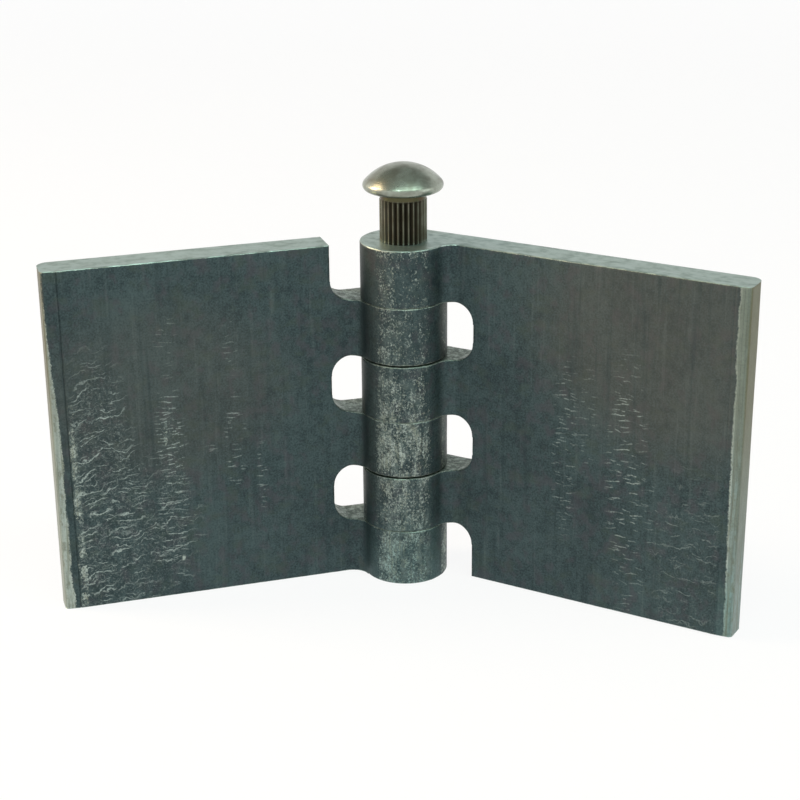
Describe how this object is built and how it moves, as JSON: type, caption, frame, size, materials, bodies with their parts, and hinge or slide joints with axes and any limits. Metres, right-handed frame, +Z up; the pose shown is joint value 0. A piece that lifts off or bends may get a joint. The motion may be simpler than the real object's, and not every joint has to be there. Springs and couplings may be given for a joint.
{
  "type": "butt hinge",
  "caption": "Heavy weld-on butt hinge: two flat steel leaves with interleaved round knuckles on a loose, knurled pin with a mushroom head that lifts out.",
  "frame": {"origin": "on the pin axis, at the foot of the lowest knuckle", "axes": "+Z up the pin axis towards the head; +Y out of the left leaf's flat back, so the left leaf reaches along -X and the leaves open towards -Y"},
  "size_m": [0.1766, 0.0835, 0.1223],
  "materials": {
    "leaf_steel": "hot-rolled, dark mill scale, sawn ends bare",
    "pin_steel": "turned, satin, lightly oiled"
  },
  "bodies": {
    "left_leaf": {"left_leaf": "leaf_steel"},
    "right_leaf": {"right_leaf": "leaf_steel"},
    "hinge_pin": {"hinge_pin": "pin_steel"}
  },
  "joints": [
    {"name": "leaf_swing", "type": "hinge", "parent": "left_leaf", "child": "right_leaf", "pos_m": [0, 0, 0], "axis": [0, 0, 1], "range_deg": [-135, 149]},
    {"name": "pin_lift", "type": "slide", "parent": "right_leaf", "child": "hinge_pin", "axis": [0, 0, 1], "range_m": [0, 0.09]}
  ]
}
